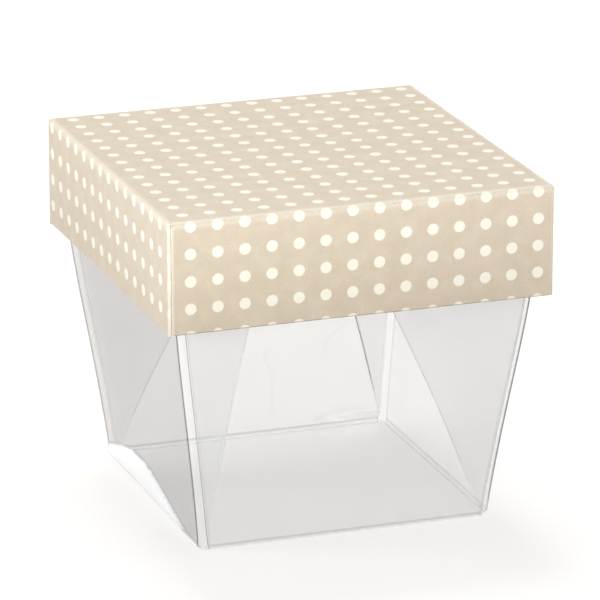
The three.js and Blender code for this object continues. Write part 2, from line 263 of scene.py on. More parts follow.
def cardMaterial():
    # Dots: the distance from the nearest point of a square lattice in the flat sheet is under the dot's radius
    look, tree, shader = newLook("printedCard")
    uvMap = addNode(tree, "ShaderNodeUVMap", uv_map="flatSheet")
    pitch = cardLook["pitch"]
    shift = [-box["lidHalf"] + cardLook["firstColumn"] * pitch, -box["lidHalf"] + cardLook["firstRow"] * pitch]
    sheetMm = addNode(tree, "ShaderNodeVectorMath", {
        0: uvMap.outputs[0], 1: (flatSpan, flatSpan, 0),
        2: (-flatSpan / 2 - shift[0], -flatSpan / 2 - shift[1], 0)}, operation="MULTIPLY_ADD")
    cell = addNode(tree, "ShaderNodeVectorMath", {
        0: sheetMm.outputs[0], 1: (1 / pitch, 1 / pitch, 0), 2: (0.5, 0.5, 0)}, operation="MULTIPLY_ADD")
    within = addNode(tree, "ShaderNodeVectorMath", {0: cell.outputs[0]}, operation="FRACTION")
    fromDot = addNode(tree, "ShaderNodeVectorMath", {0: within.outputs[0], 1: (0.5, 0.5, 0)}, operation="SUBTRACT")
    cellShare = addNode(tree, "ShaderNodeVectorMath", {0: fromDot.outputs[0]}, operation="LENGTH")
    distance = calc(tree, "MULTIPLY", cellShare.outputs["Value"], pitch)
    inkEdge = addNode(tree, "ShaderNodeTexNoise", {"Vector": sheetMm.outputs[0], "Scale": 3.1, "Detail": 2.0})
    wobble, radius, softness = cardLook["dotWobble"], cardLook["dotRadius"], cardLook["dotSoftness"]
    inward = calc(tree, "SUBTRACT", distance, wobble / 2)
    ragged = calc(tree, "MULTIPLY_ADD", inkEdge.outputs["Fac"], wobble, inward)
    dot = rangeOf(tree, ragged, radius - softness, radius + softness, 1.0, 0.0)

    marks = tree.nodes.new("ShaderNodeGroup")
    marks.node_tree = handledSheet
    tree.links.new(sheetMm.outputs[0], marks.inputs["Place"])
    marks.inputs["Mottle Scale"].default_value = 0.22
    marks.inputs["Grain Scale"].default_value = 2.6
    marks.inputs["Scuff Scale"].default_value = 0.05

    printed = addNode(tree, "ShaderNodeAttribute", attribute_name="printed").outputs["Fac"]
    foldWearAndHighlight = addNode(tree, "ShaderNodeAttribute", attribute_name="foldWearAndHighlight").outputs["Fac"]
    mottled = calc(tree, "MULTIPLY", marks.outputs["Mottle"], cardLook["mottleTone"])
    tone = calc(tree, "MULTIPLY_ADD", marks.outputs["Grain"], cardLook["grainTone"], mottled)
    ground = blendOf(tree, tone, cardLook["tan"], cardLook["tanLight"])
    inked = blendOf(tree, dot, ground, cardLook["dot"])
    # Wear and a painted highlight along the folds, broken up by the grain
    brokenWearAndHighlight = rangeOf(tree, calc(tree, "MULTIPLY_ADD", marks.outputs["Grain"], 0.25, foldWearAndHighlight), 0.20, 1.20)
    rubbedAndHighlit = blendOf(tree, calc(tree, "MULTIPLY", brokenWearAndHighlight, cardLook["wornAndHighlightMost"]), inked, cardLook["wornAndHighlight"])
    scuffShare = calc(tree, "MULTIPLY", marks.outputs["Scuffs"], cardLook["scuffMost"])
    scuffed = blendOf(tree, scuffShare, rubbedAndHighlit, cardLook["wornAndHighlight"])
    # Painted shadow: a dark line along the underside of the hem
    paintedHemShadow = addNode(tree, "ShaderNodeAttribute", attribute_name="paintedHemShadow").outputs["Fac"]
    hemShadowed = blendOf(tree, calc(tree, "MULTIPLY", paintedHemShadow, cardLook["paintedHemShadowMost"]), scuffed, cardLook["paintedHemShadow"])
    # Painted shade: the sides darken from the top fold down to the hem
    paintedLowShade = addNode(tree, "ShaderNodeAttribute", attribute_name="paintedLowShade").outputs["Fac"]
    paintedShadeShare = calc(tree, "MULTIPLY", paintedLowShade, cardLook["paintedShadeMost"])
    shadedLow = blendOf(tree, paintedShadeShare, hemShadowed, cardLook["paintedShadeTone"], "MULTIPLY")
    grainShare = calc(tree, "MULTIPLY", marks.outputs["Grain"], 0.5)
    plain = blendOf(tree, grainShare, cardLook["plainSide"], cardLook["plainGrain"])
    colour = blendOf(tree, printed, plain, shadedLow)
    tree.links.new(colour, shader.inputs["Base Color"])

    inkRough = calc(tree, "MULTIPLY_ADD", dot, -0.06, cardLook["roughness"])
    rough = calc(tree, "MULTIPLY_ADD", marks.outputs["Grain"], 0.12, inkRough)
    dull = calc(tree, "MULTIPLY_ADD", calc(tree, "SUBTRACT", 1.0, printed), 0.3, rough)
    tree.links.new(dull, shader.inputs["Roughness"])
    height = calc(tree, "MULTIPLY_ADD", marks.outputs["Grain"], 0.35, calc(tree, "MULTIPLY", dot, 0.25))
    rubbedLow = calc(tree, "MULTIPLY_ADD", brokenWearAndHighlight, -0.5, height)
    bump = addNode(tree, "ShaderNodeBump", {"Height": rubbedLow, "Strength": 0.35, "Distance": 0.00006})
    tree.links.new(bump.outputs[0], shader.inputs["Normal"])
    shader.inputs["Specular IOR Level"].default_value = 0.45
    shader.inputs["Sheen Weight"].default_value = 0.08
    shader.inputs["Sheen Roughness"].default_value = 0.5
    return look


filmLook = {
    "reflectionPaintedBright": (0.93, 0.945, 0.96, 1),  # painted reflection: what the gloss gives back where it faces a bright side
    "reflectionPaintedDim": (0.080, 0.060, 0.066, 1),  # painted reflection where it faces a dim side
    # Painted shade: the dark lines on the creases
    "paintedCreaseShade": (0.05, 0.05, 0.06, 1),
    "frostAndGlintWhite": (0.95, 0.97, 0.985, 1),  # film whitens where it has been bent hard; this white also paints glints and reflections
    "clearest": 0.084,  # how much one face of the film holds back, seen square on
    "grazing": 0.27,  # and how much more it holds back edge on
    "grazingPower": 2.2,
    "frostAndGlintHeld": 0.60,  # and what frosted film with painted glints and the painted crease shade hold back on top
    "creaseHeld": 0.85,
    "roughness": 0.06,
}


def filmMaterial():
    # Light goes straight through, and each face holds back a little of it, more of it edge on. The piece's own
    # masks paint shade on the creases, whiten bends and paint glints, set the painted reflection's dimness and
    # clear the gussets' mouths.
    look, tree, shader = newLook("clearFilm")
    place = addNode(tree, "ShaderNodeTexCoord").outputs["Object"]
    marks = tree.nodes.new("ShaderNodeGroup")
    marks.node_tree = handledSheet
    tree.links.new(place, marks.inputs["Place"])
    marks.inputs["Mottle Scale"].default_value = 38.0
    marks.inputs["Grain Scale"].default_value = 900.0
    marks.inputs["Scuff Scale"].default_value = 30.0

    crease = addNode(tree, "ShaderNodeAttribute", attribute_name="crease").outputs["Fac"]
    frostAndGlint = addNode(tree, "ShaderNodeAttribute", attribute_name="frostAndGlint").outputs["Fac"]
    paintedReflectionDimness = addNode(tree, "ShaderNodeAttribute", attribute_name="paintedReflectionDimness").outputs["Fac"]
    facing = addNode(tree, "ShaderNodeLayerWeight", {"Blend": 0.5}).outputs["Facing"]
    edgeOn = calc(tree, "POWER", facing, filmLook["grazingPower"])
    whole = calc(tree, "MULTIPLY_ADD", edgeOn, filmLook["grazing"], filmLook["clearest"])
    clearer = addNode(tree, "ShaderNodeAttribute", attribute_name="clearer").outputs["Fac"]
    held = calc(tree, "MULTIPLY", whole, calc(tree, "SUBTRACT", 1.0, clearer))
    cloudy = calc(tree, "MULTIPLY_ADD", marks.outputs["Mottle"], 0.012, held)
    marked = calc(tree, "MULTIPLY_ADD", marks.outputs["Scuffs"], 0.018, cloudy)
    withFrostAndGlint = calc(tree, "MULTIPLY_ADD", frostAndGlint, filmLook["frostAndGlintHeld"], marked)
    creased = calc(tree, "MULTIPLY_ADD", crease, filmLook["creaseHeld"], withFrostAndGlint, clamp=True)
    tree.links.new(creased, shader.inputs["Alpha"])

    # Painted reflection: pale where the piece faces a bright side, dim where it faces a dim side
    paintedReflection = blendOf(tree, paintedReflectionDimness, filmLook["reflectionPaintedBright"], filmLook["reflectionPaintedDim"])
    # White where the film is frosted and where glints and reflections are painted
    whitenedAndGlinting = blendOf(tree, rangeOf(tree, frostAndGlint, 0.0, 0.25), paintedReflection, filmLook["frostAndGlintWhite"])
    # Painted shade: dark lines on the creases
    withPaintedCreaseShade = blendOf(tree, rangeOf(tree, crease, 0.0, 0.35), whitenedAndGlinting, filmLook["paintedCreaseShade"])
    tree.links.new(withPaintedCreaseShade, shader.inputs["Base Color"])
    rough = calc(tree, "MULTIPLY_ADD", marks.outputs["Mottle"], 0.05, filmLook["roughness"])
    tree.links.new(calc(tree, "MULTIPLY_ADD", frostAndGlint, 0.25, rough), shader.inputs["Roughness"])
    bump = addNode(tree, "ShaderNodeBump", {
        "Height": calc(tree, "MULTIPLY_ADD", marks.outputs["Mottle"], 0.8, marks.outputs["Scuffs"]),
        "Strength": 0.2, "Distance": 0.00008})
    tree.links.new(bump.outputs[0], shader.inputs["Normal"])
    shader.inputs["IOR"].default_value = 1.57
    shader.inputs["Specular IOR Level"].default_value = 1.0
    return look


printedCard = cardMaterial()
clearFilm = filmMaterial()
print("materials made")


filmTray = {
    "belly": 1.45,  # how far the walls bow outwards between floor and rim
    "bellyRise": 1.8,
    "floorFold": 0.8,  # outer radius of the fold between floor and wall
    "creaseBend": 0.42,  # outer radius of the sharp bend between wall and gusset
    "tipGap": 0.06,  # between the two leaves of a gusset at its tip
    "play": 0.015,  # between neighbouring panels, so that their edges don't share a plane
    "tipHeight": 54.16,
    "tipFromAxis": 19.6,
}
filmCorner = {
    # reach: mm from the corner to the crease. edge and tip: how dark the painted shade on the creases is, and
    # fine: how narrow.
    # The frost values: how white the mouth and the tip are, the mouth's white partly a painted glint. clearer:
    # what the mouth holds back less. And how dim the corner's painted reflection is.
    "front_left": {
        "reach": 1.85, "paintedReflectionDimness": 0.0, "edge": 1.0, "tip": 0.12,
        "frostAndGlint": 0.04, "clearer": 0.85, "tipFrost": 0.35, "fine": 0.15},
    "front_right": {
        "reach": 2.3, "paintedReflectionDimness": 0.45, "edge": 1.1, "tip": 0.62,
        "frostAndGlint": 0.05, "clearer": 0.5, "tipFrost": 0.0, "fine": 0.22},
    "back_right": {
        "reach": 1.3, "paintedReflectionDimness": 0.1, "edge": 0.15, "tip": 0.75,
        "frostAndGlint": 0.2, "clearer": 0.3, "tipFrost": 0.0, "fine": 0.24},
    "back_left": {
        "reach": 1.9, "paintedReflectionDimness": 0.3, "edge": 0.6, "tip": 0.75,
        "frostAndGlint": 0.0, "clearer": 0.3, "tipFrost": 0.0, "fine": 0.14},
}
boxCorners = (("front_left", -1, -1), ("front_right", 1, -1), ("back_right", 1, 1), ("back_left", -1, 1))


def trayHalf(z):
    # Half the tray's width at height z: a straight flare plus belly * sin(pi * (z / rim)^rise)
    rise = np.clip(z / box["rimHeight"], 0, 1)
    return box["floorHalf"] + flare * z + filmTray["belly"] * np.sin(np.pi * rise ** filmTray["bellyRise"])


def traySlope(z):
    step = 0.01
    return (trayHalf(z + step) - trayHalf(z - step)) / (2 * step)


def wallEnd(corner):
    # Distance from the corner at which the wall stops and the gusset's bend starts
    return filmCorner[corner]["reach"] + filmTray["creaseBend"]


def mouthCentre(corner):
    # Centre of the bend, in from the corner along the diagonal and across from it
    reach, bend = filmCorner[corner]["reach"], filmTray["creaseBend"]
    return np.sqrt(0.5) * reach + np.sqrt(2) * bend, np.sqrt(0.5) * reach


floorLean = np.arctan(flare)
floorFlat = box["floorHalf"] - filmTray["floorFold"] * np.tan((np.pi / 2 - floorLean) / 2)


def mark(distance, width):
    # 1 on a line, falling off with the distance from it as exp(-(distance / width)^2)
    return np.exp(-(distance / width) ** 2)


filmWall = {
    "along": 91, "foldSteps": 9, "up": 96, "crown": 0.22, "ripple": 0.10,
    # The foot's and the ends' lines are painted shade; the foot's frost is a painted glint along the foot fold
    "footLine": 0.20, "endLine": 0.12, "footGlint": 0.45,
}


def filmWallPiece(side, quarterTurns, startCorner, endCorner, paintedReflectionDimness, seed, buckle=None):
    # In section: the fold arc, then x = trayHalf(z). The face is pushed out by
    # crown * (1 - s^2) * sin(pi z / rim), with s from -1 to 1 across the wall.
    fold = filmTray["floorFold"]
    slant = np.degrees(floorLean)
    arcFace = arcPoints((floorFlat, fold), fold, -90, -slant, filmWall["foldSteps"])
    arcBack = arcPoints((floorFlat, fold), fold - box["film"], -90, -slant, filmWall["foldSteps"])
    rise = np.linspace(0, 1, filmWall["up"])[1:] ** 1.25
    z = arcFace[-1, 1] + (box["rimHeight"] - arcFace[-1, 1]) * rise
    lean = np.arctan(traySlope(z))
    normal = np.stack([np.cos(lean), -np.sin(lean)], axis=-1)
    straightFace = np.stack([trayHalf(z), z], axis=-1)
    section = np.concatenate([arcFace, straightFace])
    backSection = np.concatenate([arcBack, straightFace - normal * box["film"]])
    backSection[-1, 1] = box["rimHeight"]
    height = section[:, 1]
    start = -trayHalf(height) + wallEnd(startCorner) + filmTray["play"]
    end = trayHalf(height) - wallEnd(endCorner) - filmTray["play"]
    s = np.sin(np.linspace(-np.pi / 2, np.pi / 2, filmWall["along"]))[:, None]
    along = (start + end) / 2 + s * (end - start) / 2
    free = (1 - s ** 2) * np.clip(height / 6, 0, 1)
    push = free * (filmWall["crown"] * np.sin(np.pi * height / box["rimHeight"])
                   + filmWall["ripple"] * ripple(s * 0.5, height / box["rimHeight"], seed))
    toEnd = np.minimum(along - start, end - along)
    # Painted shade lines along the foot fold and at the wall's ends
    footLine = filmWall["footLine"] * mark(height - fold * 1.15, 0.20) + 0 * s
    crease = np.maximum(filmWall["endLine"] * mark(toEnd, 0.2), footLine)
    # Painted glint along the foot fold
    frostAndGlint = filmWall["footGlint"] * mark(height - fold * 0.4, 0.30) + 0 * s
    if buckle:
        dent, line, paintedGlare = buckle(along, height)
        push = push + dent
        crease = np.maximum(crease, line)
        frostAndGlint = np.maximum(frostAndGlint, paintedGlare)

    def placed(line):
        grid = np.empty((len(s), len(line), 3))
        grid[..., 0] = line[:, 0] + push
        grid[..., 1] = along
        grid[..., 2] = line[:, 1]
        return turned(grid, quarterTurns)

    points, quads = closedSheet(placed(section), placed(backSection))
    masks = {"crease": crease, "frostAndGlint": frostAndGlint, "paintedReflectionDimness": np.full(crease.shape, paintedReflectionDimness)}
    return asPiece(f"film_{side}_wall", points, quads, clearFilm, "tray",
                   f"base_{side}_wall", masks={name: bothSides(mask) for name, mask in masks.items()})


footBuckle = {
    "high": 10.2, "middle": -8.0, "spread": 29.0, "drop": 1.6, "dent": 0.45,
    "edge": 0.22, "lineWidth": 0.28, "dark": 0.30, "reflectionWhite": 0.38,
}
crackLine = {"from": (-5.0, 41.4), "to": (-6.7, 38.6), "width": 0.16, "dark": 0.35}


def nearCrack(along, height):
    # A short crack higher up: the distance from its line, measured from the nearest point between its ends
    start, end = np.array(crackLine["from"]), np.array(crackLine["to"])
    run = end - start
    share = np.clip(((along - start[0]) * run[0] + (height - start[1]) * run[1]) / (run @ run), 0, 1)
    away = np.hypot(along - start[0] - share * run[0], height - start[1] - share * run[1])
    return crackLine["dark"] * mark(away, crackLine["width"])


def leftFootBuckle(along, height):
    # The left wall is kinked above its foot, under the line z = high * exp(-((y - middle) / spread)^2) - drop
    # Below the kink the film is whitened, a painted reflection of the sky, and the kink's dark line is painted
    # shade
    kink = footBuckle["high"] * mark(along - footBuckle["middle"], footBuckle["spread"]) - footBuckle["drop"]
    below = 1 / (1 + np.exp((height - kink) / footBuckle["edge"]))
    dent = footBuckle["dent"] * np.sin(np.pi * np.clip(height / np.maximum(kink, 0.5), 0, 1)) * below
    line = footBuckle["dark"] * mark(height - kink, footBuckle["lineWidth"]) * np.clip(kink - 0.6, 0, 1)
    return dent, np.maximum(line, nearCrack(along, height)), below * footBuckle["reflectionWhite"]


def backFootPaintedGleam(along, height):
    # Painted highlight: the back wall's foot is whitened next to the right corner, where it catches the light
    paintedGleam = mark(height - 2.0, 1.3) * np.clip((-16 - along) / 12, 0, 1)
    return 0.12 * paintedGleam, 0 * paintedGleam, 0.55 * paintedGleam


# The number after the corners is how dim the wall's painted reflection is
filmWallPiece("right", 0, "front_right", "back_right", 0.18, 11)
filmWallPiece("back", 1, "back_right", "back_left", 1.0, 12, backFootPaintedGleam)
filmWallPiece("left", 2, "back_left", "front_left", 1.0, 13, leftFootBuckle)
filmWallPiece("front", 3, "front_left", "front_right", 0.60, 14)


filmGusset = {"bendSteps": 13, "runSteps": 34, "tipSteps": 9, "up": 64, "wave": 0.30, "tipBow": 1.2}


def filmGussetPiece(corner, sideX, sideY, seed):
    # A level section at each height: out of one wall in a sharp bend, straight in to the tip, round it and
    # back to the other wall, so that the two leaves close like a V. The tip runs from the floor's corner up
    # to the tip height and back out to the rim's corner.
    look = filmCorner[corner]
    tipHalf, bend = filmTray["tipGap"] / 2, filmTray["creaseBend"]
    mouthIn, mouthAcross = mouthCentre(corner)
    top, tip = box["rimHeight"], filmTray["tipHeight"]
    below = np.linspace(box["film"] + 0.02, tip, filmGusset["up"])
    above = np.linspace(tip, top, filmGusset["up"] // 2)[1:]
    z = np.concatenate([below, above])[:, None]
    cornerOut = np.sqrt(2) * trayHalf(z)
    foot, rim = np.sqrt(2) * box["floorHalf"] - mouthIn, np.sqrt(2) * box["rimHalf"] - mouthIn
    tipOut = np.where(
        z < tip,
        foot + (filmTray["tipFromAxis"] - foot) * z / tip
        + filmGusset["tipBow"] * np.sin(np.pi * np.clip(z / tip, 0, 1)),
        filmTray["tipFromAxis"] + (rim - filmTray["tipFromAxis"]) * (z - tip) / (top - tip))
    depth = np.maximum(cornerOut - tipOut, mouthIn + 0.01)

    # Slope of the leaf: the line that touches the bend's circle and the tip's circle from opposite sides
    far = np.hypot(depth - mouthIn, mouthAcross)
    slope = np.arctan2(mouthAcross, depth - mouthIn) - np.arcsin((tipHalf + bend) / far)

    def section(inset):
        share = np.linspace(0, 1, filmGusset["bendSteps"])
        turn = np.radians(135) + share * (np.radians(135) - slope)
        bendIn = mouthIn + (bend - inset) * np.cos(turn)
        bendAcross = mouthAcross + (bend - inset) * np.sin(turn)
        swing = np.linspace(1, -1, filmGusset["tipSteps"]) * (np.pi / 2 - slope)
        tipIn, tipAcross = depth + (tipHalf + inset) * np.cos(swing), (tipHalf + inset) * np.sin(swing)
        run = np.linspace(0, 1, filmGusset["runSteps"] + 2)[1:-1]
        leafIn = bendIn[:, -1:] * (1 - run) + tipIn[:, :1] * run
        leafAcross = bendAcross[:, -1:] * (1 - run) + tipAcross[:, :1] * run
        inward = np.concatenate([bendIn, leafIn, tipIn, leafIn[:, ::-1], bendIn[:, ::-1]], axis=1)
        across = np.concatenate(
            [bendAcross, leafAcross, tipAcross, -leafAcross[:, ::-1], -bendAcross[:, ::-1]], axis=1)
        away = np.clip((inward - mouthIn) / 12, 0, 1) ** 2
        wave = filmGusset["wave"] * away * ripple(inward / 80, z / 90, seed)
        return inward, across + wave

    def placed(inset):
        inward, across = section(inset)
        grid = np.empty(inward.shape + (3,))
        grid[..., 0] = sideX * trayHalf(z) - sideX * (inward + sideX * sideY * across) * np.sqrt(0.5)
        grid[..., 1] = sideY * trayHalf(z) - sideY * (inward - sideX * sideY * across) * np.sqrt(0.5)
        grid[..., 2] = z
        return grid

    points, quads = closedSheet(placed(0), placed(box["film"]))
    inward, across = section(0)
    count = inward.shape[1]
    toBend = np.minimum(np.arange(count), np.arange(count)[::-1])
    # Painted shade on the bends and along the tip
    onBend = mark(toBend - filmGusset["bendSteps"] * 0.5, filmGusset["bendSteps"] * look["fine"]) + 0 * z
    onTip = mark(toBend - count / 2 + 0.5, 1.6) * np.clip(depth / 8 - 0.4, 0, 1)
    nearTip = mark(toBend - count / 2 + 0.5, 6.0)
    crease = np.maximum(look["edge"] * onBend, look["tip"] * onTip)
    nearMouth = mark(inward - mouthIn, 2.4)
    # The mouth whitens where frosted, partly as a painted glint; the tip whitens too
    frostAndGlint = np.maximum(look["frostAndGlint"] * nearMouth * (toBend >= filmGusset["bendSteps"]), look["tipFrost"] * onTip)
    # Painted reflection: less dim near the tip and lower down
    paintedReflectionDimness = look["paintedReflectionDimness"] * (1 - 0.8 * nearTip) * (0.35 + 0.65 * np.clip(z / tip, 0, 1))
    clearer = look["clearer"] * nearMouth
    masks = {"crease": crease, "frostAndGlint": frostAndGlint, "paintedReflectionDimness": paintedReflectionDimness, "clearer": clearer}
    return asPiece(f"film_{corner}_gusset", points, quads, clearFilm, "tray",
                   f"base_{corner}_gusset", masks={name: bothSides(mask) for name, mask in masks.items()})


for number, (corner, sideX, sideY) in enumerate(boxCorners):
    filmGussetPiece(corner, sideX, sideY, 31 + number)


filmFloor = {"steps": 81, "lift": 0.25, "tabRise": 0.25, "edgeLine": 0.12}


def filmFloorPiece():
    # A square grid. Beyond the walls' ends it widens under the gussets' feet, and the corners are cut off
    # where |x| + |y| passes the foot of the gusset. Height = lift * (1 - s^2) (1 - t^2) * ripple.
    flat, full = floorFlat, box["floorHalf"]
    line = np.sin(np.linspace(-np.pi / 2, np.pi / 2, filmFloor["steps"]))
    s, t = np.meshgrid(line, line, indexing="ij")
    footStart, cutLine = np.empty(s.shape), np.empty(s.shape)
    for corner, sideX, sideY in boxCorners:
        here = (s * sideX >= 0) & (t * sideY >= 0)
        footStart[here] = full - wallEnd(corner) + filmTray["play"] * 2
        cutLine[here] = 2 * full - np.sqrt(2) * (mouthCentre(corner)[0] - filmTray["creaseBend"])

    def widened(own, other):
        tab = np.clip((np.abs(other) * flat - footStart) / filmFloor["tabRise"], 0, 1)
        return own * (flat + (full - flat) * tab)

    x, y = widened(s, t), widened(t, s)
    over = np.maximum(np.abs(x) + np.abs(y) - cutLine, 0) / 2
    x, y = x - np.sign(x) * over, y - np.sign(y) * over
    lift = filmFloor["lift"] * (1 - s ** 2) * (1 - t ** 2) * (0.5 + 0.5 * ripple(s * 0.45, t * 0.45, 5))
    face = np.stack([x, y, lift], axis=-1)
    points, quads = closedSheet(face, face + [0, 0, box["film"]])
    toEdge = flat - np.maximum(np.abs(x), np.abs(y))
    # Painted shade line along the floor's edge
    crease = filmFloor["edgeLine"] * mark(toEdge, 0.22)
    masks = {"crease": crease, "frostAndGlint": 0 * crease, "paintedReflectionDimness": 0 * crease}
    return asPiece("film_floor", points, quads, clearFilm, "tray", "base_floor",
                   masks={name: bothSides(mask) for name, mask in masks.items()})


filmFloorPiece()
print("film tray made")


cardLid = {
    "topFold": 1.0,  # outer radius of the folds around the top
    "trappedSpace": 0.8,  # inside the left and right sides, which hold the gussets
    "plainSpace": 0.1,
    "frontFlapHalf": 43.3,
    "sideFlapHalf": 43.9,
    "flapTop": 78.7,
    "bow": 0.18,
    "hemWave": 0.12,
    "play": 0.012,
    "gussetMiddle": 44.275,  # from the axis to the middle between the two leaves of a gusset
    "gussetGap": 0.05,
}
lidCorner = {  # bend: outer radius; bulge: how far it overlaps the side's doubled edge; setBack: of that edge; wear: how pale the crests are, from wear and from painted light that lifts the groove's shade
    "front_left": {"bend": 0.42, "bulge": 0.0, "setBack": 0.0, "wearAndHighlight": 1.15},
    "front_right": {"bend": 0.36, "bulge": 0.5, "setBack": 0.75, "wearAndHighlight": 0.1},
    "back_right": {"bend": 0.6, "bulge": 0.2, "setBack": 0.3, "wearAndHighlight": 0.4},
    "back_left": {"bend": 0.6, "bulge": 0.2, "setBack": 0.3, "wearAndHighlight": 0.4},
}
foldOut = box["lidHalf"] - cardLid["topFold"]
foldHigh = box["closedHeight"] - cardLid["topFold"]


def plainEnd(corner):
    # Where the front or back panel stops and its quarter bend starts, from the axis
    shape = lidCorner[corner]
    return cardLid["gussetMiddle"] - cardLid["gussetGap"] / 2 - shape["bend"] + shape["bulge"]


def trappedEnd(corner):
    # Where the left or right panel stops and doubles back, from the axis
    return box["lidHalf"] - lidGusset["hairpin"] - lidCorner[corner]["setBack"]


def toUv(flatMm):
    return flatMm / flatSpan + 0.5


lidTop = {"steps": 73, "sag": 0.28}


def lidTopPiece():
    # z = top - sag * (1 - s^2) (1 - t^2) * (0.5 + 0.5 ripple), with s and t from -1 to 1 across the top
    s = np.sin(np.linspace(-np.pi / 2, np.pi / 2, lidTop["steps"]))
    gridS, gridT = np.meshgrid(s, s, indexing="ij")
    dip = lidTop["sag"] * (1 - gridS ** 2) * (1 - gridT ** 2) * (0.5 + 0.5 * ripple(gridS * 0.6, gridT * 0.6, 3))
    face = np.stack([gridS * foldOut, gridT * foldOut, box["closedHeight"] - dip], axis=-1)
    points, quads = closedSheet(face, face - [0, 0, box["card"]])
    toEdge = foldOut * (1 - np.maximum(np.abs(gridS), np.abs(gridT)))
    printed = np.concatenate([np.ones(gridS.size), np.zeros(gridS.size)])
    # Paler along the top's edges: wear with a painted highlight on the folds
    return asPiece("card_top", points, quads, printedCard, "lid", "lid_top",
                   uv=toUv(bothSides(face[..., :2])),
                   masks={"printed": printed, "foldWearAndHighlight": bothSides(0.5 * mark(toEdge + 0.4, 0.9))})


lidGusset = {
    "hairpin": 0.35,  # outer radius where the left or right doubles back
    "steps": 44, "bendSteps": 11, "runSteps": 24, "tipSteps": 5,
}
lidSide = {
    "along": 97, "foldSteps": 13, "panelSteps": 30, "hemSteps": 13, "flapSteps": 24,
    # Paler on the top fold and the hem's rounded edge, wear with a painted highlight, and paler at the panel's
    # ends
    "foldWearAndHighlight": 0.5, "hemWearAndHighlight": 0.3, "endWear": 0.5,
}


def lidSidePiece(side, quarterTurns, space, startHalf, endHalf, flapHalf, seed):
    # In section: the top fold's quarter arc, the panel, the hem's half circle and the flap inside. The
    # panel and the flap bow in together by bow * (1 - s^2) * sin(pi * drop), and the hem waves a little.
    hemRadius = space / 2 + box["card"]
    hem = (box["lidHalf"] - hemRadius, lidBottom + hemRadius)
    fold = cardLid["topFold"]

    def section(inset):
        top = arcPoints((foldOut, foldHigh), fold - inset, 90, 0, lidSide["foldSteps"])
        turn = arcPoints(hem, hemRadius - inset, 0, -180, lidSide["hemSteps"])
        end = np.array([hem[0] - hemRadius + inset, cardLid["flapTop"]])
        panel = linePoints(top[-1], turn[0], lidSide["panelSteps"])
        flap = linePoints(turn[-1], end, lidSide["flapSteps"])
        return np.concatenate([top, panel, turn, flap, [end]])

    faceLine, backLine = section(0), section(box["card"])
    panelRun = fold * np.pi / 2 + foldHigh - hem[1]
    run = runLength(faceLine)
    onFlap = np.clip((run - panelRun) / (hemRadius * 2), 0, 1)
    start = -startHalf * (1 - onFlap) - flapHalf * onFlap + cardLid["play"]
    end = endHalf * (1 - onFlap) + flapHalf * onFlap - cardLid["play"]
    s = np.sin(np.linspace(-np.pi / 2, np.pi / 2, lidSide["along"]))[:, None]
    along = (start + end) / 2 + s * (end - start) / 2
    drop = np.clip((foldHigh - faceLine[:, 1]) / (foldHigh - lidBottom), 0, 1)
    uneven = 0.7 + 0.3 * ripple(s * 0.7, drop * 0.4, seed)
    bow = cardLid["bow"] * (1 - s ** 2) * np.sin(drop * np.pi * 0.62) * uneven
    wavy = 0.5 + 0.5 * ripple(s * 0.9, drop * 0, seed + 50)
    lift = cardLid["hemWave"] * (1 - s ** 2) * drop ** 3 * wavy

    def placed(line):
        grid = np.empty((len(s), len(line), 3))
        grid[..., 0] = line[:, 0] - bow
        grid[..., 1] = along
        grid[..., 2] = line[:, 1] + lift
        return turned(grid, quarterTurns)

    points, quads = closedSheet(placed(faceLine), placed(backLine))
    flat = np.stack(np.broadcast_arrays(foldOut + run, along), axis=-1)
    uv = toUv(turned(flat, quarterTurns))
    # Paler on the top fold and the hem's edge: wear and a painted highlight
    foldWearAndHighlight = lidSide["foldWearAndHighlight"] * mark(np.maximum(np.abs(run - fold * 0.9) - 0.3, 0), 1.2)
    hemWearAndHighlight = lidSide["hemWearAndHighlight"] * mark(run - panelRun + 0.1, 0.15)
    endWear = lidSide["endWear"] * mark(np.minimum(along - start, end - along), 0.3)
    wearAndHighlight = np.maximum(np.maximum(foldWearAndHighlight, hemWearAndHighlight) + 0 * s, endWear)
    # Painted shadow line along the underside of the hem
    paintedHemShadow = mark(np.maximum(np.abs(run - panelRun - hemRadius * 0.97) - 0.17, 0), 0.06) + 0 * s
    # Painted shade, growing from the top fold down to the hem
    paintedLowShade = np.clip(run / panelRun, 0, 1) ** 1.3 + 0 * s
    printed = np.concatenate([np.ones(wearAndHighlight.size), np.zeros(wearAndHighlight.size)])
    return asPiece(f"card_{side}_side", points, quads, printedCard, "lid", f"lid_{side}_side",
                   uv=bothSides(uv), masks={
                       "printed": printed, "foldWearAndHighlight": bothSides(wearAndHighlight), "paintedHemShadow": bothSides(paintedHemShadow),
                       "paintedLowShade": bothSides(paintedLowShade)})


lidTopPiece()
lidSidePiece("right", 0, cardLid["trappedSpace"], trappedEnd("front_right"), trappedEnd("back_right"),
             cardLid["sideFlapHalf"], 61)
lidSidePiece("back", 1, cardLid["plainSpace"], plainEnd("back_right"), plainEnd("back_left"),
             cardLid["frontFlapHalf"], 62)
lidSidePiece("left", 2, cardLid["trappedSpace"], trappedEnd("back_left"), trappedEnd("front_left"),
             cardLid["sideFlapHalf"], 63)
lidSidePiece("front", 3, cardLid["plainSpace"], plainEnd("front_left"), plainEnd("front_right"),
             cardLid["frontFlapHalf"], 64)


def squared(value):
    # Rounds a pinched fold off less than a circle does: sign(v) |v|^0.6 in place of v
    return np.sign(value) * np.abs(value) ** 0.6


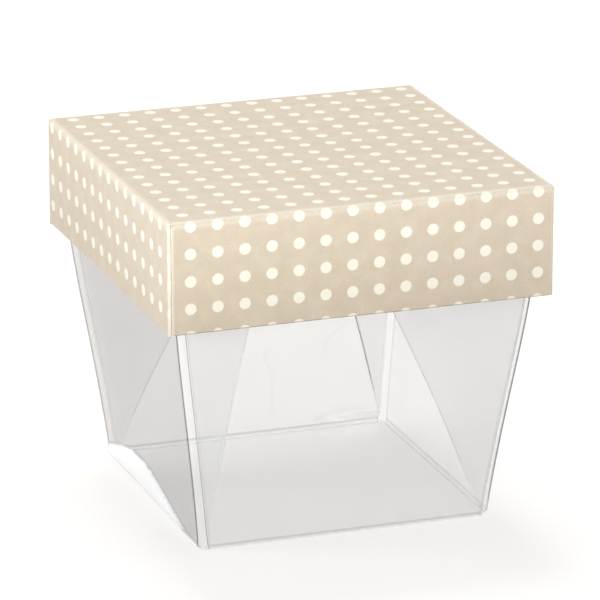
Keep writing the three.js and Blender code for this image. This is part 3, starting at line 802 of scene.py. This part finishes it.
def lidGussetPiece(corner, sideX, sideY):
    # Seen from above: the hairpin, in to the tip, back, and the quarter bend to the front or back. The
    # tip lies as deep as it is below the lid's top, on the fold's diagonal. Where the bend bulges over
    # the side's doubled edge, its leaf runs back to its place along bulge * (1 - smooth step).
    shape = lidCorner[corner]
    half = cardLid["gussetGap"] / 2
    pin, bend, setBack = lidGusset["hairpin"], shape["bend"], shape["setBack"]
    share = np.linspace(0, 1, lidGusset["runSteps"] + 2)[1:-1] ** 1.6
    bends, runs = lidGusset["bendSteps"], 2 * len(share) + lidGusset["tipSteps"]
    hidden = np.concatenate([np.zeros(bends), np.ones(runs), np.zeros(bends)])
    high = np.where(hidden > 0, foldHigh - 0.1, box["closedHeight"] - 0.08)
    low = np.where(hidden > 0, lidBottom + 0.78, lidBottom + 0.06)
    down = np.linspace(0, 1, lidGusset["steps"])[:, None]
    z = high + (low - high) * down
    depth = np.maximum(box["closedHeight"] - z, bend + setBack + 1.0)
    over = np.clip(z - foldHigh, 0, cardLid["topFold"] * 0.93)
    drawnIn = cardLid["topFold"] - np.sqrt(cardLid["topFold"] ** 2 - over ** 2)

    def section(inset):
        first, last = slice(0, bends), slice(-bends, None)
        pinTurn = np.radians(np.linspace(90, 270, bends))
        pinRadius = np.maximum(pin - inset - drawnIn[:, first] * 0.4, 0.02)
        pinIn = setBack + pin + drawnIn[:, first] * 0.6 + pinRadius * squared(np.cos(pinTurn))
        pinAcross = half + pin + pinRadius * squared(np.sin(pinTurn))
        bendTurn = np.radians(np.linspace(90, 180, bends))
        bendIn = bend + drawnIn[:, last] + (bend - inset) * squared(np.cos(bendTurn))
        bendAcross = -half - bend + (bend - inset) * squared(np.sin(bendTurn)) + 0 * bendIn
        tipTurn = np.radians(np.linspace(90, -90, lidGusset["tipSteps"]))
        runDepth = depth[:, bends][:, None]
        inward = np.concatenate([
            pinIn, setBack + pin + share * (runDepth - pin - setBack), runDepth + (half + inset) * np.cos(tipTurn),
            bend + share[::-1] * (runDepth - bend), bendIn], axis=1)
        level = np.tile(np.concatenate([
            np.full(len(share), half + inset), (half + inset) * np.sin(tipTurn),
            np.full(len(share), -half - inset)]), (len(z), 1))
        across = np.concatenate([pinAcross, level, bendAcross], axis=1)
        onPlain = np.arange(across.shape[1]) > bends + len(share) + lidGusset["tipSteps"] // 2
        back = np.clip((inward - bend) / (setBack + 0.15), 0, 1)
        return inward, across + shape["bulge"] * onPlain * (1 - back * back * (3 - 2 * back))

    def placed(inset):
        inward, across = section(inset)
        grid = np.empty(inward.shape + (3,))
        grid[..., 0] = sideX * (cardLid["gussetMiddle"] + across)
        grid[..., 1] = sideY * (box["lidHalf"] - inward)
        grid[..., 2] = z
        return grid

    points, quads = closedSheet(placed(0), placed(box["card"]))
    inward, across = section(0)
    below = foldOut + cardLid["topFold"] * np.pi / 2 + foldHigh - z
    steps = np.hypot(np.diff(inward, axis=1), np.diff(across, axis=1))
    run = np.concatenate([np.zeros((len(z), 1)), np.cumsum(steps, axis=1)], axis=1)
    middle = inward.shape[1] // 2
    onSide = np.arange(inward.shape[1]) < middle
    flatU = np.where(onSide, below, plainEnd(corner) + run[:, -1:] - run)
    flatV = np.where(onSide, trappedEnd(corner) + run, below)
    uv = toUv(np.stack([sideX * flatU, sideY * flatV], axis=-1))
    place = np.arange(inward.shape[1])
    # Paler crests on the hairpin and the quarter bend: wear, with painted light that lifts the shade of the groove
    # between them
    pinCrest = mark(place - bends * 0.4, bends * 0.45)
    bendCrest = mark(place - inward.shape[1] + bends * 0.5, bends * 0.40)
    crest = np.maximum(pinCrest, bendCrest)
    wearAndHighlight = shape["wearAndHighlight"] * crest + 0 * z
    printed = np.concatenate([np.ones(wearAndHighlight.size), np.zeros(wearAndHighlight.size)])
    # Painted shade, growing towards the lid's lower edge as on the sides
    return asPiece(f"card_{corner}_gusset", points, quads, printedCard, "lid",
                   f"lid_{corner}_gusset", uv=bothSides(uv),
                   masks={"printed": printed, "foldWearAndHighlight": bothSides(wearAndHighlight),
                          "paintedLowShade": bothSides(np.clip(down, 0, 1) ** 1.3 + 0 * wearAndHighlight)})


for corner, sideX, sideY in boxCorners:
    lidGussetPiece(corner, sideX, sideY)
print("card lid made")


studio = {
    "tableRadius": 3.0, "tableDrop": 0.00012, "tableGlow": 0.675,
    "tableDark": (0.350, 0.345, 0.337, 1), "tableLight": (0.370, 0.365, 0.357, 1),
    "glowTint": (1.0, 0.985, 0.965, 1),
    "yaw": 19.43, "pitch": 17.77, "distance": 1.12947, "lens": 296.81, "aim": (0.99, 44.56),
    "sky": 0.48, "skyBand": 0.43,
}


def tableStage():
    # A round pale table that is lit from below as well, as a product table is, so that shadows stay faint
    count = 96
    angle = np.linspace(0, 2 * np.pi, count, endpoint=False)
    rim = np.stack([np.cos(angle), np.sin(angle), 0 * angle], axis=-1) * studio["tableRadius"]
    mesh = bpy.data.meshes.new("table")
    mesh.from_pydata((rim - [0, 0, studio["tableDrop"]]).tolist(), [], [list(range(count))])
    look, tree, shader = newLook("paleTable")
    noise = addNode(tree, "ShaderNodeTexNoise", {
        "Vector": addNode(tree, "ShaderNodeTexCoord").outputs["Object"], "Scale": 6.0, "Detail": 2.0})
    tone = rangeOf(tree, noise.outputs["Fac"], 0.3, 0.7)
    tree.links.new(blendOf(tree, tone, studio["tableDark"], studio["tableLight"]), shader.inputs["Base Color"])
    shader.inputs["Roughness"].default_value = 0.6
    shader.inputs["Specular IOR Level"].default_value = 0.1
    shader.inputs["Emission Color"].default_value = studio["glowTint"]
    shader.inputs["Emission Strength"].default_value = studio["tableGlow"]
    mesh.materials.append(look)
    table = bpy.data.objects.new("table", mesh)
    bpy.context.scene.collection.objects.link(table)


def softLight(name, place, aim, size, power, colour, glossy=True, only=None):
    lamp = bpy.data.lights.new(name, "AREA")
    lamp.shape = "RECTANGLE"
    lamp.size, lamp.size_y = size
    lamp.energy = power
    lamp.color = colour
    light = bpy.data.objects.new(name, lamp)
    light.location = place
    light.rotation_euler = (Vector(aim) - Vector(place)).to_track_quat("-Z", "Y").to_euler()
    light.visible_camera = False
    light.visible_glossy = glossy
    if only:
        light.light_linking.receiver_collection = only
    bpy.context.scene.collection.objects.link(light)


def studioLight():
    # A white tent: the sky is white above and greyer near the table's rim, and the camera sees white
    world = bpy.data.worlds.new("tent")
    bpy.context.scene.world = world
    world.use_nodes = True
    tree = world.node_tree
    tree.nodes.clear()
    out = tree.nodes.new("ShaderNodeOutputWorld")
    direction = addNode(tree, "ShaderNodeTexCoord").outputs["Generated"]
    high = addNode(tree, "ShaderNodeSeparateXYZ", {0: direction}).outputs["Z"]
    strength = rangeOf(tree, high, 0.0, 0.5, studio["skyBand"], studio["sky"])
    tentLight = addNode(tree, "ShaderNodeBackground", {"Color": (1.0, 0.995, 0.985, 1), "Strength": strength})
    seen = addNode(tree, "ShaderNodeBackground", {"Color": (1, 1, 1, 1), "Strength": 1.0})
    isCamera = addNode(tree, "ShaderNodeLightPath").outputs["Is Camera Ray"]
    mixed = addNode(tree, "ShaderNodeMixShader", {0: isCamera, 1: tentLight.outputs[0], 2: seen.outputs[0]})
    tree.links.new(mixed.outputs[0], out.inputs["Surface"])
    boxOnly = bpy.data.collections.new("boxOnly")  # the front strip doesn't wash out the shadow on the table
    for piece in bpy.context.scene.collection.objects:
        if piece.name.startswith(("card_", "film_")):
            boxOnly.objects.link(piece)
    softLight("overhead", (0.05, 0.46, 1.02), (0, 0, 0.04), (0.40, 0.40), 7.7, (1.0, 0.99, 0.97))
    softLight("frontStrip", (-0.02, -0.12, 0.090), (0, -0.045, 0.076), (0.50, 0.02), 0.165, (1.0, 0.99, 0.965),
              only=boxOnly)
    softLight("leftStrip", (-0.60, 0.10, 0.30), (0, 0, 0.06), (0.10, 0.6), 2.0, (1.0, 1.0, 1.0), glossy=False)
    softLight("rightStrip", (1.0, -0.15, 0.30), (0, 0, 0.04), (0.12, 0.8), 3.2, (1.0, 1.0, 1.0))


def photoCamera():
    yaw, pitch = np.radians(studio["yaw"]), np.radians(studio["pitch"])
    across, high = np.array(studio["aim"]) * metresPerMm
    aim = Vector((across * np.cos(yaw), -across * np.sin(yaw), high))
    back = Vector((-np.sin(yaw) * np.cos(pitch), -np.cos(yaw) * np.cos(pitch), np.sin(pitch)))
    lens = bpy.data.cameras.new("photoCamera")
    lens.lens = studio["lens"]
    lens.sensor_width = 36.0
    lens.clip_start, lens.clip_end = 0.05, 20.0
    camera = bpy.data.objects.new("photoCamera", lens)
    camera.location = aim + back * studio["distance"]
    camera.rotation_euler = back.to_track_quat("Z", "Y").to_euler()
    bpy.context.scene.collection.objects.link(camera)
    bpy.context.scene.camera = camera


tableStage()
studioLight()
photoCamera()
scene = bpy.context.scene
scene.view_settings.view_transform = "Standard"
scene.view_settings.look = "None"
scene.cycles.transparent_max_bounces = 48
scene.cycles.max_bounces = 6
scene.cycles.diffuse_bounces = 3
scene.cycles.glossy_bounces = 2
print("studio made")
